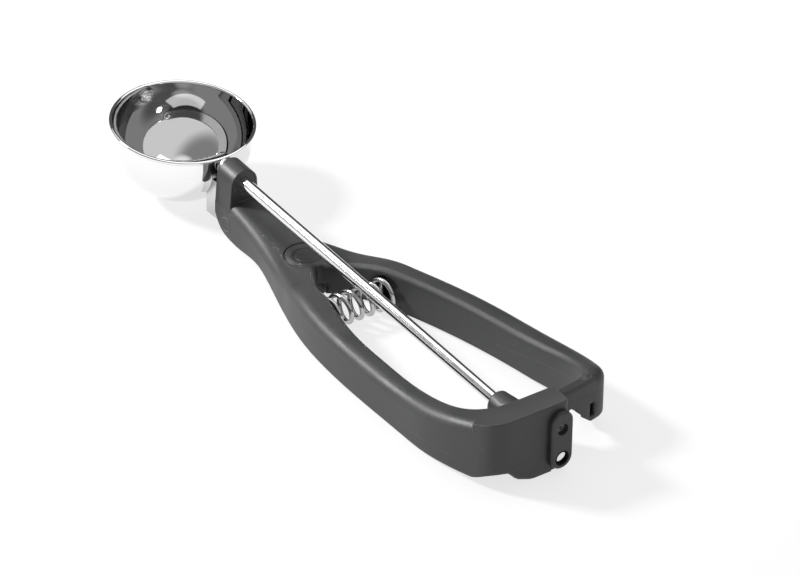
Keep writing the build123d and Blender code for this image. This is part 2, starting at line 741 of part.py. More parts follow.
def lever_plan():
    """Top view of the lever's arm, as a tall prism."""
    root_angle = -3.0
    leave_angle = degrees(acos((lever_start_x - pivot_x) / head_r))
    rear_angle = degrees(asin(lever_corner_y / skirt_r))
    inner_angle = degrees(asin(lever_rear_y / skirt_r))
    corner = (lever_corner_x, lever_outer_y - lever_turn_in)
    outline = (
        Spline(
            [
                (lever_start_x, lever_start_y),
                (lever_root_x, lever_root_y),
                (shoulder_x, lever_shoulder_y),
                (lever_side_x, lever_side_y),
                (belly_x + lever_turn_in, lever_outer_y),
                corner,
            ],
            tangents=[(1, 0.42), (1, -0.28)],
        )
        + Spline(
            [corner, polar(skirt_r, rear_angle)],
            tangents=[(1, -0.28), (0.2, -1)],
        )
        + ThreePointArc(
            polar(skirt_r, rear_angle),
            polar(skirt_r, (rear_angle + inner_angle) / 2),
            polar(skirt_r, inner_angle),
        )
        + Line(polar(skirt_r, inner_angle), polar(web_r_in, inner_angle))
        + Spline(
            [
                polar(web_r_in, inner_angle),
                (belly_x + lever_turn_in, lever_inner_y),
                (lever_hollow_x, lever_hollow_y),
                (crotch_x, crotch_y),
                polar(head_r, root_angle),
            ],
            tangents=[(-0.6, 0.4), (-0.75, -1)],
        )
        + Line(polar(head_r, root_angle), polar(0, 0))
        + Line(polar(0, 0), polar(head_r, leave_angle))
        + Line(polar(head_r, leave_angle), (lever_start_x, lever_start_y))
    )
    return extrude(make_face(outline), rear_top_z + 2, dir=(0, 0, 1))


def rear_web():
    """Curved web of the lever's rear with the rack under it, and the smooth skirt behind it."""
    tip_z = shaft_height(mesh_x) + pitch_r - rack_addendum * gear_module
    foot_y = lever_inner_y - 1
    web = make_face(
        Polyline(
            (web_end_y, web_top_z),
            (foot_y, web_top_z),
            (foot_y, web_foot_z - 1),
            (web_slope_low_y, web_foot_z),
            (web_slope_top_y, web_slope_top_z),
            (rack_end_y, web_slope_top_z),
            (rack_end_y, tip_z),
            (web_end_y, tip_z),
            close=True,
        )
    )
    skirt = make_face(
        Polyline(
            (web_end_y, skirt_top_z),
            (foot_y, skirt_top_z),
            (foot_y, web_foot_z - 1),
            (skirt_slope_low_y, skirt_slope_low_z),
            (skirt_slope_top_y, skirt_slope_top_z),
            (web_end_y, skirt_slope_top_z),
            close=True,
        )
    )
    return sweep_band(web, web_r_in, web_r_out) + sweep_band(skirt, web_r_out, skirt_r)


def rear_slot():
    """Moulded slot in the lever's rear face."""
    half = slot_width / 2
    section = make_face(
        Polyline(
            (slot_y - half, slot_low_z),
            (slot_y + half, slot_low_z),
            (slot_y + half, slot_high_z),
            (slot_y - half, slot_high_z),
            close=True,
        )
    )
    return sweep_band(section, skirt_r - slot_depth, skirt_r + 1)


def rack_spaces():
    """Straight-sided spaces between the rack's teeth, set out along the curved web."""
    slope = tan(radians(pressure_angle))
    middle = tooth_pitch / 4 + backlash / 2
    below = rack_addendum * gear_module + 1
    above = dedendum * gear_module
    start = mesh_r + pivot_x - 2 * gear_module - web_r_out + web_r_in
    space = make_face(
        Polyline(
            (-middle - below * slope, pitch_r - below),
            (middle + below * slope, pitch_r - below),
            (middle - above * slope, pitch_r + above),
            (above * slope - middle, pitch_r + above),
            close=True,
        )
    )
    length = 4 * gear_module + 2 * (web_r_out - web_r_in)
    front = shaft_frame.location * Pos(0, 0, start / cos(radians(tilt)))
    cutter = front * extrude(space, length, dir=(0, 0, 1))
    axis = Axis((pivot_x, 0, 0), (0, 0, 1))
    return [cutter.rotate(axis, step * tooth_step) for step in range(rack_first_space, rack_last_space + 1)]


def lever_top_edges(arm):
    """Long inner and outer edges of the lever's top, one of each in every stretch."""
    stretches = [pivot_x, shoulder_x, rise_start_x, rear_x]
    inner = []
    outer = []
    for start, end in zip(stretches[:-1], stretches[1:]):
        here = [
            edge
            for edge in arm.edges()
            if edge.bounding_box().min.Z > head_top_z - 0.2
            and edge.bounding_box().size.X > (end - start) / 2
            and start < (edge @ 0.5).X < end
        ]
        here.sort(key=lambda edge: (edge @ 0.5).Y)
        inner.append(here[0])
        outer.append(here[-1])
    return inner, outer


def lever_low_edges(arm):
    """Outer edges under the lever's arm and round its rear corner."""
    chosen = []
    for edge in arm.edges():
        box = edge.bounding_box()
        middle = edge @ 0.5
        underneath = box.max.Z < lever_rear_low_z + 1 and box.size.Z < lever_rear_low_z
        if underneath and box.size.X > 1 and middle.Y > lever_inner_y + 1.5 and middle.X > lever_side_x:
            chosen.append(edge)
    return chosen


def make_lever():
    """Squeeze lever: round head, curved arm, and a rear web that ends in the rack."""
    arm = lever_profile() & lever_plan()
    arm = arm.fillet(low_round, lever_low_edges(arm))
    arm = arm.fillet(outer_round, lever_top_edges(arm)[1])
    arm = arm.fillet(lever_inner_round, lever_top_edges(arm)[0])
    head = upright(head_r, pivot_x, 0, head_low_z, head_top_z)
    body = arm + head + rear_web()
    for space in rack_spaces():
        body = body - space
    body = body - upright(pivot_pin_r + running_gap, pivot_x, 0, 0, side_reach)
    cap_low_z = head_top_z - pivot_cap_top - pivot_pin_head
    body = body - upright(pivot_cap_r + slide_gap / 2, pivot_x, 0, cap_low_z - running_gap, side_reach)
    return body - rear_slot() - spring_pocket(0, spring_moving_y)


def make_pivot_pin():
    """Pivot pin with a flat head, and a groove for its ring under the handle."""
    head_z = head_top_z - pivot_cap_top
    end_z = floor_low_z - washer_thickness - ring_thickness - 0.3
    pin = upright(pivot_pin_r, pivot_x, 0, end_z, head_z - pivot_pin_head)
    pin = pin + upright(pivot_pin_head_r, pivot_x, 0, head_z - pivot_pin_head, head_z)
    ring_z = floor_low_z - washer_thickness - ring_thickness
    groove = upright(pivot_pin_r + 1, pivot_x, 0, ring_z, ring_z + ring_thickness)
    groove = groove - upright(pivot_pin_r - pin_groove, pivot_x, 0, 0, floor_low_z)
    return pin - groove


def make_pivot_cap():
    """Moulded cap over the pin's head, flush with the top of the lever's head."""
    cap = upright(pivot_cap_r, pivot_x, 0, head_top_z - pivot_cap_top - pivot_pin_head, head_top_z)
    return cap - upright(pivot_pin_head_r, pivot_x, 0, 0, head_top_z - pivot_cap_top)


def make_pivot_washer():
    low_z = floor_low_z - washer_thickness
    washer = upright(washer_r, pivot_x, 0, low_z, floor_low_z)
    return washer - upright(pivot_pin_r, pivot_x, 0, 0, floor_low_z + 1)


def make_pivot_ring():
    """Open snap ring in the pin's groove."""
    high_z = floor_low_z - washer_thickness
    ring = upright(ring_r, pivot_x, 0, high_z - ring_thickness, high_z)
    ring = ring - upright(pivot_pin_r - pin_groove, pivot_x, 0, 0, floor_low_z)
    mouth = between(pivot_x, pivot_x + ring_r + 1, -1.2, 1.2, 0, floor_low_z)
    return ring - mouth


def make_plate():
    """Stadium-shaped end plate with the shaft's bearing hole and a deep screw hole."""
    front_x = rear_x - plate_seat
    plate = extrude(Plane.YZ.offset(front_x) * plate_face(0), plate_thickness, dir=(1, 0, 0))
    rim = plate.faces().sort_by(Axis.X)[-1].edges()
    plate = plate.chamfer(plate_edge, None, rim)
    screw_z = shaft_height(rear_x) + screw_above_shaft
    plate = plate - lengthwise(screw_r, front_x - 1, rear_x + 9, screw_z)
    plate = plate - lengthwise(screw_hole_r, rear_x - screw_seat, rear_x + 9, screw_z)
    return plate - shaft_disc(shaft_r + running_gap + end_bush_wall, front_x - 1, rear_x + 9)


def make_end_bush():
    """Bush between the shaft's rear end and the end plate, flush on both sides."""
    bush = shaft_disc(shaft_r + running_gap + end_bush_wall, rear_x - 9, rear_x + 9)
    bush = bush - shaft_disc(shaft_r + running_gap, rear_x - 10, rear_x + 10)
    front_x = rear_x - plate_seat
    return bush & between(front_x, front_x + plate_thickness, -9, 9, 0, 2 * axis_z)


def make_plate_screw():
    """Screw that holds the end plate, sunk in its hole, with a cross slot."""
    screw_z = shaft_height(rear_x) + screw_above_shaft
    seat_x = rear_x - screw_seat
    screw = lengthwise(screw_r, rear_x - screw_length, seat_x, screw_z)
    screw = screw + lengthwise(screw_hole_r - 0.1, seat_x, seat_x + screw_head, screw_z)
    slot = 0.5
    face_x = seat_x + screw_head - slot
    for wide, tall in ((slot, screw_hole_r), (screw_hole_r, slot)):
        low_z = screw_z - tall / 2
        screw = screw - between(face_x, face_x + 1, -wide / 2, wide / 2, low_z, low_z + tall)
    return screw


def make_spring():
    """Return spring between the two arms, with its end turns let into their pockets."""
    start_y = -spring_fixed_y + spring_wire_r
    length = spring_moving_y + spring_fixed_y - 2 * spring_wire_r
    path = Helix(length / spring_turns, length, spring_mean_r)
    section = Plane(path @ 0, z_dir=path % 0) * Circle(spring_wire_r)
    coil = sweep(section, path, is_frenet=True)
    return Plane(origin=(spring_x, start_y, spring_z), z_dir=(0, 1, 0)).location * coil


parts = {
    "fixed_handle": make_handle(),
    "bowl": make_bowl(),
    "bowl_bracket": make_bracket(),
    "bracket_pin": make_bracket_pin(),
    "blade_rivet": make_far_rivet(),
    "front_bush": make_bush(hood_rear_x, 1, bush_wall),
    "nose_bush": make_bush(nose_x, -1, 0),
    "end_plate": make_plate(),
    "end_bush": make_end_bush(),
    "end_plate_screw": make_plate_screw(),
    "pivot_pin": make_pivot_pin(),
    "pivot_cap": make_pivot_cap(),
    "pivot_washer": make_pivot_washer(),
    "pivot_ring": make_pivot_ring(),
    "return_spring": make_spring(),
    "squeeze_lever": make_lever(),
    "wiper_shaft": make_shaft(),
    "wiper_blade": make_blade(),
    "shaft_collar": make_collar(),
    "pinion": make_pinion(),
    "pinion_ring": make_pinion_ring(),
}

# ---- the origin: middle of the footprint, on the surface that the scoop lies on
box = Compound(children=[Pos(0, 0, 0) * part for part in parts.values()]).bounding_box()
shift = Vector(-(box.min.X + box.max.X) / 2, -(box.min.Y + box.max.Y) / 2, 0)

os.makedirs("parts", exist_ok=True)
for name, part in parts.items():
    solids = part.solids()
    moved = Location(shift) * (solids[0] if len(solids) == 1 else part)
    export_step(moved, f"parts/{name}.step")
    print(name, len(solids), round(part.volume, 2))

print("overall size", box.size, "lowest", box.min.Z)
print("shift", shift)
print("lever pivot", Vector(pivot_x, 0, 0) + shift, "swing", lever_swing)
print("shaft through", Vector(0, 0, axis_z) + shift, "along", axis_dir, "ratio", gear_ratio)
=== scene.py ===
import bpy
import json
from math import asin, cos, pi, radians, sin, sqrt
from mathutils import Matrix, Vector


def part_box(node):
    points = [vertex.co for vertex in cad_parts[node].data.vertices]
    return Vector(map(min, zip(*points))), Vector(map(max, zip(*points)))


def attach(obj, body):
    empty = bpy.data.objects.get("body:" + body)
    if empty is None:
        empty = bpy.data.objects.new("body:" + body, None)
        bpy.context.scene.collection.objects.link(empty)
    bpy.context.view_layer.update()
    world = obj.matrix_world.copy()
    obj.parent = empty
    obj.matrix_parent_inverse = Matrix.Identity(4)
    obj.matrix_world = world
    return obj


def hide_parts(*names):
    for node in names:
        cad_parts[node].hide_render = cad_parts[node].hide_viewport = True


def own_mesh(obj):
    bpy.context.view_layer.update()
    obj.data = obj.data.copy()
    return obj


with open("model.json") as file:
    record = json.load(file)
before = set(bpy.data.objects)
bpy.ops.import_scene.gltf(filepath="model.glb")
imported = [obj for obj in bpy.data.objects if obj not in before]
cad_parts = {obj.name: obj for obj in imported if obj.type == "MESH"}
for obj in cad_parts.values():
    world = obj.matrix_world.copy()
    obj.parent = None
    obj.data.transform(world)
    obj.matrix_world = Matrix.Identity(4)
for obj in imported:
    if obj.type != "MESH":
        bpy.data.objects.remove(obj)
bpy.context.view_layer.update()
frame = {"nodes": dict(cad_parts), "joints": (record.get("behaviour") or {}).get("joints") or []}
mm = 0.001
tiny = 1e-6                 # m, points closer than this are one
joints = {joint["name"]: joint for joint in frame["joints"]}
shaftStart = Vector(joints["wiper_turn"]["pos_m"])      # on the shaft's line, in the middle of the bowl
shaftWay = Vector(joints["wiper_turn"]["axis"])
shaftTilt = asin(-shaftWay.z)       # radians, the shaft leans down towards the rear
print("frame loaded,", len(frame["nodes"]), "pieces")


def place(x, y, z):
    # in millimetres: x and y from the bowl's middle, z from the table
    return Vector((shaftStart.x + x * mm, shaftStart.y + y * mm, z * mm))


def around(azimuth, elevation, distance):
    # a spot round the scoop, both angles in degrees, azimuth counted from +X
    azimuth = radians(azimuth)
    elevation = radians(elevation)
    flat = cos(elevation)
    return distance * Vector((cos(azimuth) * flat, sin(azimuth) * flat, sin(elevation)))


def grey(level):
    return (level, level, level)


def deselectAll():
    bpy.ops.object.select_all(action="DESELECT")


cameraSettings = {
    "azimuth": 53.07,       # degrees, 0 looks along +Y
    "elevation": 32.09,
    "roll": 1.04,
    "lens": 270.0,          # mm
    "sensor": 36.0,         # mm, the film's width
    "distance": 2.0729,     # m, from the bowl's rim
    "aimRight": 0.0751,     # m, the camera aims this far right of the rim's middle
    "aimDown": 0.0576,      # and this far below it
    "rimDrop": 0.0024,      # m, the rim's middle lies this far under its highest point
    "nearest": 0.1,         # m, what is closer or farther than these isn't drawn
    "farthest": 50.0,
}


def makeCamera(s):
    bowlLow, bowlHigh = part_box("bowl")
    rim = Vector(((bowlLow.x + bowlHigh.x) / 2, (bowlLow.y + bowlHigh.y) / 2, bowlHigh.z - s["rimDrop"]))
    azimuth = radians(s["azimuth"])
    elevation = radians(s["elevation"])
    back = Vector((sin(azimuth) * cos(elevation), -cos(azimuth) * cos(elevation), sin(elevation)))
    level = Vector((cos(azimuth), sin(azimuth), 0))
    steep = back.cross(level)
    roll = radians(s["roll"])
    right = level * cos(roll) + steep * sin(roll)
    up = steep * cos(roll) - level * sin(roll)
    data = bpy.data.cameras.new("camera")
    data.lens = s["lens"]
    data.sensor_width = s["sensor"]
    data.clip_start = s["nearest"]
    data.clip_end = s["farthest"]
    camera = bpy.data.objects.new("camera", data)
    bpy.context.scene.collection.objects.link(camera)
    spot = rim + right * s["aimRight"] - up * s["aimDown"] + back * s["distance"]
    camera.matrix_world = Matrix.Translation(spot) @ Matrix((right, up, back)).transposed().to_4x4()
    bpy.context.scene.camera = camera


makeCamera(cameraSettings)
bpy.context.scene.view_settings.view_transform = "Standard"
print("camera made")


def feed(tree, node, links):
    # what comes out of other nodes goes into this one's sockets
    for socket, source in links.items():
        tree.links.new(source, node.inputs[socket])


def addNode(tree, kind, values=None, links=None, **settings):
    # one node with its settings, plain values and incoming links
    node = tree.nodes.new("ShaderNode" + kind)
    for key, value in settings.items():
        setattr(node, key, value)
    for socket, value in (values or {}).items():
        node.inputs[socket].default_value = value
    feed(tree, node, links or {})
    return node


def addMath(tree, operation, *terms):
    # each term is a number or what comes out of another node
    node = addNode(tree, "Math", operation=operation)
    for index, term in enumerate(terms):
        if isinstance(term, (int, float)):
            node.inputs[index].default_value = term
        else:
            tree.links.new(term, node.inputs[index])
    return node.outputs[0]


def addRange(tree, value, start, end, low=0.0, high=1.0):
    # low at start, high at end, smooth between them and level outside
    spans = {"From Min": start, "From Max": end, "To Min": low, "To Max": high}
    node = addNode(tree, "MapRange", spans, {"Value": value}, interpolation_type="SMOOTHSTEP")
    return node.outputs["Result"]


def addMix(tree, factor, first, second):
    # two colours mixed by a mask, each a plain colour or what comes out of another node
    node = addNode(tree, "Mix", links={0: factor}, data_type="RGBA")
    for index, item in ((6, first), (7, second)):       # the two sockets that take colours
        if isinstance(item, tuple):
            node.inputs[index].default_value = (*item, 1)
        else:
            tree.links.new(item, node.inputs[index])
    return node.outputs[2]


def layOver(tree, color, mask, share, other):
    # another colour over the first where the mask is, by this share at most
    return addMix(tree, addMath(tree, "MULTIPLY", mask, share), color, other)


def mixShaders(tree, factor, first, second):
    return addNode(tree, "MixShader", links={0: factor, 1: first.outputs[0], 2: second.outputs[0]})


def onPiece(tree):
    # a spot on the piece, in metres
    return addNode(tree, "TexCoord").outputs["Object"]


def facingUp(tree):
    # 1 on faces that look straight up, 0 on upright ones, -1 on those that look down
    side = addNode(tree, "NewGeometry")
    return addNode(tree, "SeparateXYZ", links={0: side.outputs["Normal"]}).outputs["Z"]


stageSettings = {
    "floorSize": 8.0,       # m
    "floorDrop": 0.02,      # mm, under the scoop's lowest point
    "floorColor": 0.93,
    "floorBounce": 0.6,     # what it throws back onto the scoop
    "floorGlow": 0.745,     # share of its own white that the camera sees in the floor
    "floorLit": 0.26,       # and the share of the light and shadow that fall on it
    "skyWhite": 1.0,        # what the camera sees past the floor
    "roomTone": 0.63,       # plain grey of the studio's walls
    "roomParts": (          # azimuth, elevation, core and soft edge in degrees, and tone
        (137.0, 20.0, 44.0, 62.0, 0.08),        # dark far end
        (-115.0, 60.0, 20.0, 48.0, 0.22),       # dim card on the left
        (0.0, 90.0, 6.0, 18.0, 0.85),           # pale ceiling
    ),
    "fillLess": 0.5,        # this share of the walls' light doesn't reach dull surfaces
}
lampSettings = {            # watts, metres and degrees
    "keyLamp": {"power": 18.0, "size": (0.2, 0.2), "azimuth": -140.0, "elevation": 38.0, "distance": 1.2},
    "backLamp": {"power": 7.5, "size": (1.75, 0.95), "azimuth": 132.0, "elevation": 67.0, "distance": 1.3},
}


def makeFloor(s):
    # the camera and mirrors see pale paper, the scoop gets less light back, and from below it is clear
    deselectAll()
    bpy.ops.mesh.primitive_plane_add(size=s["floorSize"], location=(0, 0, -s["floorDrop"] * mm))
    floor = bpy.context.object
    floor.name = "floor"
    mat = bpy.data.materials.new("floorPaper")
    mat.use_nodes = True
    tree = mat.node_tree
    tree.nodes.clear()
    paper = addNode(tree, "BsdfDiffuse", {"Color": (*grey(s["floorBounce"]), 1)})
    halfPaper = addNode(tree, "BsdfDiffuse", {"Color": (*grey(s["floorColor"] * s["floorLit"]), 1)})
    glow = addNode(tree, "Emission", {"Strength": s["floorGlow"]})
    seen = addNode(tree, "AddShader", links={0: halfPaper.outputs[0], 1: glow.outputs[0]})
    rays = addNode(tree, "LightPath")
    direct = addMath(tree, "MAXIMUM", rays.outputs["Is Camera Ray"], rays.outputs["Is Glossy Ray"])
    above = mixShaders(tree, direct, paper, seen)
    below = addNode(tree, "BsdfTransparent")
    side = addNode(tree, "NewGeometry")
    both = mixShaders(tree, side.outputs["Backfacing"], above, below)
    addNode(tree, "OutputMaterial", links={"Surface": both.outputs[0]})
    floor.data.materials.append(mat)


def makeLamp(name, s):
    data = bpy.data.lights.new(name, "AREA")
    data.energy = s["power"]
    data.shape = "RECTANGLE"
    data.size, data.size_y = s["size"]
    lamp = bpy.data.objects.new(name, data)
    bpy.context.scene.collection.objects.link(lamp)
    spot = around(s["azimuth"], s["elevation"], s["distance"])
    lamp.location = spot
    lamp.rotation_mode = "QUATERNION"
    lamp.rotation_quaternion = (-spot).to_track_quat("-Z", "Y")


def makeWorld(s):
    world = bpy.data.worlds.new("studio")
    bpy.context.scene.world = world
    world.use_nodes = True
    tree = world.node_tree
    tree.nodes.clear()
    coords = addNode(tree, "TexCoord")
    tone = grey(s["roomTone"])
    for azimuth, elevation, core, reach, level in s["roomParts"]:
        towards = addNode(tree, "VectorMath", {1: around(azimuth, elevation, 1.0)},
                          {0: coords.outputs["Generated"]}, operation="DOT_PRODUCT")
        part = addRange(tree, towards.outputs["Value"], cos(radians(reach)), cos(radians(core)))
        tone = addMix(tree, part, tone, grey(level))
    rays = addNode(tree, "LightPath")
    less = addMath(tree, "MULTIPLY", rays.outputs["Is Diffuse Ray"], s["fillLess"])
    strength = addMath(tree, "SUBTRACT", 1.0, less)
    room = addNode(tree, "Background", links={"Color": tone, "Strength": strength})
    white = addNode(tree, "Background", {"Strength": s["skyWhite"], "Color": (1, 1, 1, 1)})
    both = mixShaders(tree, rays.outputs["Is Camera Ray"], room, white)
    addNode(tree, "OutputWorld", links={"Surface": both.outputs[0]})


makeFloor(stageSettings)
for name, settings in lampSettings.items():
    makeLamp(name, settings)
makeWorld(stageSettings)
print("floor, lamps and sky made")


def newGroup(name, inputs, outputs):
    # an empty node group with number inputs and named outputs
    tree = bpy.data.node_groups.new(name, "ShaderNodeTree")
    for label, value in inputs.items():
        socket = tree.interface.new_socket(label, in_out="INPUT", socket_type="NodeSocketFloat")
        socket.default_value = value
    for label, kind in outputs.items():
        tree.interface.new_socket(label, in_out="OUTPUT", socket_type="NodeSocket" + kind)
    return tree, tree.nodes.new("NodeGroupInput"), tree.nodes.new("NodeGroupOutput")


def perMetre(tree, size):
    # a pattern's scale from its size in millimetres
    return addMath(tree, "DIVIDE", 1 / mm, size)


# in the groups below, a span holds the two values between which a mask goes from 0 to 1

grainSettings = {
    "size": 0.35,               # mm
    "grain": {"Detail": 3.0, "Roughness": 0.6},
    "grainShare": 0.7,          # of the height, the pits have the rest
    "pitSpan": (0.05, 0.45),    # in grain sizes, from a pit's middle
    "mottle": {"Scale": 55.0, "Detail": 4.0, "Roughness": 0.55, "Distortion": 0.4},
    "mottleSpan": (0.3, 0.7),
}


def makeGrainGroup(s):
    # fine spark-eroded grain of a moulding, with a slow mottle over it
    tree, ends, out = newGroup("mouldGrain", {"Size": s["size"]}, {"Height": "Float", "Mottle": "Float"})
    coords = onPiece(tree)
    scale = perMetre(tree, ends.outputs["Size"])
    grain = addNode(tree, "TexNoise", s["grain"], {"Vector": coords, "Scale": scale})
    pits = addNode(tree, "TexVoronoi", links={"Vector": coords, "Scale": scale})
    slow = addNode(tree, "TexNoise", s["mottle"], {"Vector": coords})
    deep = addRange(tree, pits.outputs["Distance"], *s["pitSpan"])
    pitted = addMath(tree, "MULTIPLY", deep, 1 - s["grainShare"])
    height = addMath(tree, "MULTIPLY_ADD", grain.outputs["Fac"], s["grainShare"], pitted)
    feed(tree, out, {"Height": height, "Mottle": addRange(tree, slow.outputs["Fac"], *s["mottleSpan"])})
    return tree


rubSettings = {
    "width": 0.6,               # mm
    "samples": 4,
    "turnSpan": (0.995, 0.90),  # cosine of the angle by which a rounding would turn the face
    "patches": {"Scale": 420.0, "Detail": 4.0, "Roughness": 0.65},
    "patchSpan": (0.35, 0.65),
}


def makeRubGroup(s):
    # rubbed edges: where a small rounding would turn the surface, broken up by noise
    tree, ends, out = newGroup("edgeRub", {"Width": s["width"]}, {"Mask": "Float", "Normal": "Vector"})
    width = addMath(tree, "MULTIPLY", ends.outputs["Width"], mm)
    rounded = addNode(tree, "Bevel", links={"Radius": width}, samples=s["samples"]).outputs[0]
    side = addNode(tree, "NewGeometry")
    turn = addNode(tree, "VectorMath", links={0: rounded, 1: side.outputs["Normal"]}, operation="DOT_PRODUCT")
    edge = addRange(tree, turn.outputs["Value"], *s["turnSpan"])
    patches = addNode(tree, "TexNoise", s["patches"], {"Vector": onPiece(tree)})
    broken = addMath(tree, "MULTIPLY", edge, addRange(tree, patches.outputs["Fac"], *s["patchSpan"]))
    feed(tree, out, {"Mask": broken, "Normal": rounded})
    return tree


markSettings = {
    "spacing": 6.0,             # mm
    "turn": 0.5,                # radians
    "turnApart": 1.9,           # radians between the two directions
    "leans": (0.35, -0.8),      # radians, one for each direction
    "stretch": (0.12, 1.0, 1.0),        # long along the first axis
    "lines": {"Detail": 1.0, "Distortion": 0.25},
    "lineLevel": 0.5,           # the lines lie where the noise is at this level
    "lineSpan": (0.006, 0.0),   # off that level
    "patches": {"Scale": 160.0, "Detail": 2.0},
    "patchSpan": (0.5, 0.68),
}


def makeMarkGroup(s):
    # hair-thin handling marks in two crossing directions
    tree, ends, out = newGroup("handlingMarks", {"Spacing": s["spacing"], "Turn": s["turn"]},
                               {"Mask": "Float"})
    coords = onPiece(tree)
    scale = perMetre(tree, ends.outputs["Spacing"])
    masks = []
    for step, lean in enumerate(s["leans"]):
        turn = addMath(tree, "ADD", ends.outputs["Turn"], s["turnApart"] * step)
        angle = addNode(tree, "CombineXYZ", {"X": lean}, {"Z": turn})
        turned = addNode(tree, "Mapping", {"Scale": s["stretch"]},
                         {"Vector": coords, "Rotation": angle.outputs[0]})
        lines = addNode(tree, "TexNoise", s["lines"], {"Vector": turned.outputs[0], "Scale": scale})
        off = addMath(tree, "ABSOLUTE", addMath(tree, "SUBTRACT", lines.outputs["Fac"], s["lineLevel"]))
        masks.append(addRange(tree, off, *s["lineSpan"]))
    patches = addNode(tree, "TexNoise", s["patches"], {"Vector": coords})
    where = addRange(tree, patches.outputs["Fac"], *s["patchSpan"])
    feed(tree, out, {"Mask": addMath(tree, "MULTIPLY", addMath(tree, "MAXIMUM", *masks), where)})
    return tree


smudgeSettings = {
    "size": 14.0,               # mm
    "cloud": {"Detail": 5.0, "Roughness": 0.6, "Distortion": 0.8},
    "spots": {"Scale": 310.0, "Randomness": 1.0},
    "spotSpan": (0.10, 0.02),
    "whereSpan": (0.56, 0.66),  # spots lie only where the cloud is this dense
    "hazeSpan": (0.40, 0.72),
}


def makeSmudgeGroup(s):
    # faint finger and water marks on steel
    tree, ends, out = newGroup("smudges", {"Size": s["size"]}, {"Mask": "Float", "Haze": "Float"})
    coords = onPiece(tree)
    scale = perMetre(tree, ends.outputs["Size"])
    cloud = addNode(tree, "TexNoise", s["cloud"], {"Vector": coords, "Scale": scale}).outputs["Fac"]
    spots = addNode(tree, "TexVoronoi", s["spots"], {"Vector": coords})
    dots = addRange(tree, spots.outputs["Distance"], *s["spotSpan"])
    where = addRange(tree, cloud, *s["whereSpan"])
    haze = addRange(tree, cloud, *s["hazeSpan"])
    feed(tree, out, {"Mask": addMath(tree, "MULTIPLY", dots, where), "Haze": haze})
    return tree


lineSettings = {
    "fine": 0.12,               # mm, from line to line
    "along": 6.0,               # mm, their length
    "lines": {"Scale": 1.0, "Detail": 2.0, "Roughness": 0.7},
    "toneSpan": (0.3, 0.7),
}


def makeLineGroup(s):
    # fine lines left by drawing or polishing along one direction
    tree, ends, out = newGroup(
        "drawnLines", {"Fine": s["fine"], "Along": s["along"], "Tilt": 0.0, "Turn": 0.0},
        {"Height": "Float", "Tone": "Float"})
    angles = addNode(tree, "CombineXYZ", links={"Y": ends.outputs["Tilt"], "Z": ends.outputs["Turn"]})
    turned = addNode(tree, "VectorRotate", {"Center": shaftStart},
                     {"Vector": onPiece(tree), "Rotation": angles.outputs[0]}, rotation_type="EULER_XYZ")
    parts = addNode(tree, "SeparateXYZ", links={0: turned.outputs[0]})
    along = addMath(tree, "MULTIPLY", ends.outputs["Along"], mm)
    fine = addMath(tree, "MULTIPLY", ends.outputs["Fine"], mm)
    counted = {axis: addMath(tree, "DIVIDE", parts.outputs[axis], length)
               for axis, length in (("X", along), ("Y", fine), ("Z", fine))}
    squeezed = addNode(tree, "CombineXYZ", links=counted)
    lines = addNode(tree, "TexNoise", s["lines"], {"Vector": squeezed.outputs[0]}).outputs["Fac"]
    feed(tree, out, {"Height": lines, "Tone": addRange(tree, lines, *s["toneSpan"])})
    return tree


dustSettings = {
    "spacing": 3.2,             # mm
    "speckSpan": (0.060, 0.035),        # in spacings, from a speck's middle
    "keptSpan": (0.80, 0.84),   # about one place in five has its speck
    "upSpan": (0.2, 0.8),
}


def makeDustGroup(s):
    # a few light specks that lie on faces turned upwards
    tree, ends, out = newGroup("dustSpecks", {"Spacing": s["spacing"]}, {"Mask": "Float"})
    scale = perMetre(tree, ends.outputs["Spacing"])
    specks = addNode(tree, "TexVoronoi", links={"Vector": onPiece(tree), "Scale": scale})
    small = addRange(tree, specks.outputs["Distance"], *s["speckSpan"])
    chance = addNode(tree, "SeparateColor", links={0: specks.outputs["Color"]})
    few = addRange(tree, chance.outputs[0], *s["keptSpan"])
    upward = addRange(tree, facingUp(tree), *s["upSpan"])
    feed(tree, out, {"Mask": addMath(tree, "MULTIPLY", addMath(tree, "MULTIPLY", small, few), upward)})
    return tree


groups = {
    "grain": makeGrainGroup(grainSettings),
    "rub": makeRubGroup(rubSettings),
    "marks": makeMarkGroup(markSettings),
    "smudges": makeSmudgeGroup(smudgeSettings),
    "lines": makeLineGroup(lineSettings),
    "dust": makeDustGroup(dustSettings),
}
print("shared surface effects made:", len(groups))


def useGroup(tree, key, values):
    return addNode(tree, "Group", values, node_tree=groups[key])


def newMaterial(name, values):
    mat = bpy.data.materials.new(name)
    mat.use_nodes = True
    shader = mat.node_tree.nodes["Principled BSDF"]
    for socket, value in values.items():
        shader.inputs[socket].default_value = value
    return mat, mat.node_tree, shader


